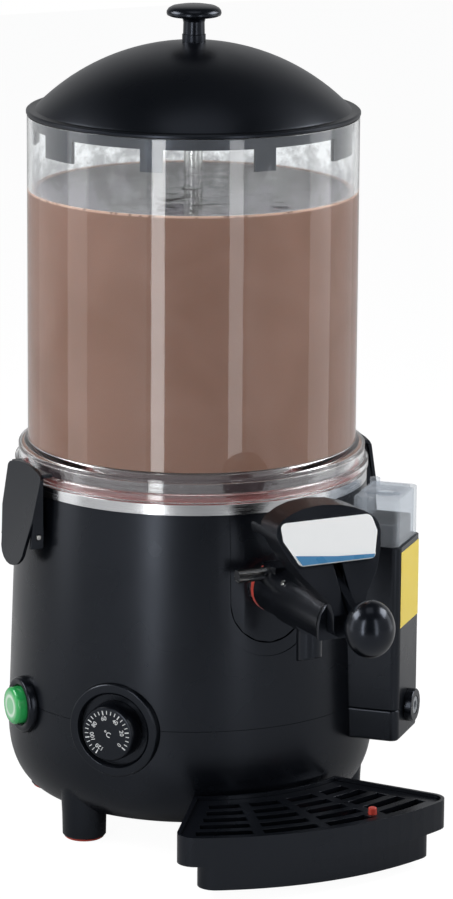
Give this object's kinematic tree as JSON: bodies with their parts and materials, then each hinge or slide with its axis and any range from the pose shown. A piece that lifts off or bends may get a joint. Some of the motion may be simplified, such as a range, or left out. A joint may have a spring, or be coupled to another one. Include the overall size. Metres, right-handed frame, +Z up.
{
  "type": "hot chocolate dispenser machine",
  "caption": "Counter-top hot drink dispenser: round black heated base with legs, clear bowl with domed lid and mixer, front lever tap and drip tray.",
  "frame": {"origin": "on the table at the middle of the part's width and depth, a little in front of the round body", "axes": "+Z up along the bowl's axis, -Y to the front where the tap is, +X to the right of a person facing the front"},
  "size_m": [0.282, 0.4194, 0.5778],
  "materials": {
    "housing_plastic": "satin black housing plastic with a light grain",
    "lid_plastic": "matte black plastic",
    "tap_plastic": "smooth black plastic",
    "clear_plastic": "clear polycarbonate",
    "steel": "stainless steel",
    "mechanism": "grey metal",
    "silicone": "red silicone rubber",
    "green_lens": "translucent green lens",
    "white_plastic": "glossy white plastic",
    "grey_plastic": "grey plastic"
  },
  "bodies": {
    "machine": {"body_shell": "housing_plastic", "base_shell": "housing_plastic", "foot_pad_1": "silicone", "foot_pad_2": "silicone", "foot_pad_3": "silicone", "foot_pad_4": "silicone", "steel_tank": "steel", "water_jacket": "steel", "heater": "mechanism", "outlet_collar": "housing_plastic", "bowl": "clear_plastic", "bowl_seal": "silicone", "gear_motor": "mechanism", "motor_cradle": "mechanism", "latch_bracket_right": "housing_plastic", "latch_pin_right": "steel", "latch_bracket_left": "housing_plastic", "latch_pin_left": "steel", "dial_bezel": "housing_plastic", "thermostat_body": "mechanism", "switch_ring": "tap_plastic", "switch_body": "grey_plastic", "side_tank": "tap_plastic", "link_pipe": "steel", "drain_fitting": "tap_plastic", "tap_seal": "silicone", "tap_body": "tap_plastic", "tap_end_cap": "tap_plastic", "lever_pin": "steel", "tap_hood": "tap_plastic", "badge_panel": "white_plastic", "cord_gland": "housing_plastic"},
    "lid": {"lid": "lid_plastic", "lid_knob": "tap_plastic", "knob_screw": "steel"},
    "mixer": {"mixer_tube": "steel", "mixer_paddle": "white_plastic", "drive_shaft": "steel"},
    "right_latch": {"latch_right": "housing_plastic"},
    "left_latch": {"latch_left": "housing_plastic"},
    "dial": {"thermostat_dial": "housing_plastic", "dial_spindle": "steel"},
    "power_button": {"switch_button": "green_lens"},
    "tap_handle": {"tap_lever": "tap_plastic", "lever_knob": "tap_plastic"},
    "plunger": {"tap_plunger": "white_plastic"},
    "tap_lock": {"lock_pin": "steel"},
    "tray": {"drip_tray": "housing_plastic"},
    "grille": {"drip_grille": "housing_plastic"},
    "float": {"float_button": "silicone"},
    "cover": {"side_cover": "clear_plastic"},
    "filler": {"filler_cap": "clear_plastic"},
    "plug": {"drain_plug": "grey_plastic"}
  },
  "joints": [
    {"name": "lid_lift", "type": "slide", "parent": "machine", "child": "lid", "axis": [0, 0, 1], "range_m": [0, 0.12]},
    {"name": "mixer_spin", "type": "hinge", "parent": "machine", "child": "mixer", "pos_m": [0, 0.0758, 0.3], "axis": [0, 0, 1], "continuous": true},
    {"name": "right_latch_swing", "type": "hinge", "parent": "machine", "child": "right_latch", "pos_m": [0.13, 0.0758, 0.217], "axis": [0, 1, 0], "range_deg": [0, 25]},
    {"name": "left_latch_swing", "type": "hinge", "parent": "machine", "child": "left_latch", "pos_m": [-0.13, 0.0758, 0.217], "axis": [0, -1, 0], "range_deg": [0, 25]},
    {"name": "dial_turn", "type": "hinge", "parent": "machine", "child": "dial", "pos_m": [-0.10725, -0.01419, 0.09], "axis": [-0.766, -0.6428, 0], "range_deg": [-135, 135]},
    {"name": "power_press", "type": "slide", "parent": "machine", "child": "power_button", "axis": [1, 0, 0], "range_m": [0, 0.003], "stiffness_N_per_m": 600},
    {"name": "tap_lift", "type": "hinge", "parent": "machine", "child": "tap_handle", "pos_m": [0, -0.1272, 0.232], "axis": [-1, 0, 0], "range_deg": [0, 20], "stiffness_Nm_per_rad": 0.6},
    {"name": "plunger_slide", "type": "slide", "parent": "machine", "child": "plunger", "axis": [0, -1, 0], "range_m": [0, 0.0136]},
    {"name": "lock_pin_pull", "type": "slide", "parent": "machine", "child": "tap_lock", "axis": [-1, 0, 0], "range_m": [0, 0.03]},
    {"name": "tray_pull", "type": "slide", "parent": "machine", "child": "tray", "axis": [0, -1, 0], "range_m": [0, 0.12]},
    {"name": "grille_lift", "type": "slide", "parent": "tray", "child": "grille", "axis": [0, 0, 1], "range_m": [0, 0.06]},
    {"name": "float_rise", "type": "slide", "parent": "grille", "child": "float", "axis": [0, 0, 1], "range_m": [0, 0.012]},
    {"name": "cover_lift", "type": "slide", "parent": "machine", "child": "cover", "axis": [0, 0, 1], "range_m": [0, 0.05]},
    {"name": "filler_lift", "type": "slide", "parent": "cover", "child": "filler", "axis": [0, 0, 1], "range_m": [0, 0.04]},
    {"name": "drain_plug_pull", "type": "slide", "parent": "machine", "child": "plug", "axis": [0.7071, -0.7071, 0], "range_m": [0, 0.03]}
  ],
  "couplings": [
    {"joint": "plunger_slide", "follows": "tap_lift", "m_per_rad": 0.0385}
  ]
}
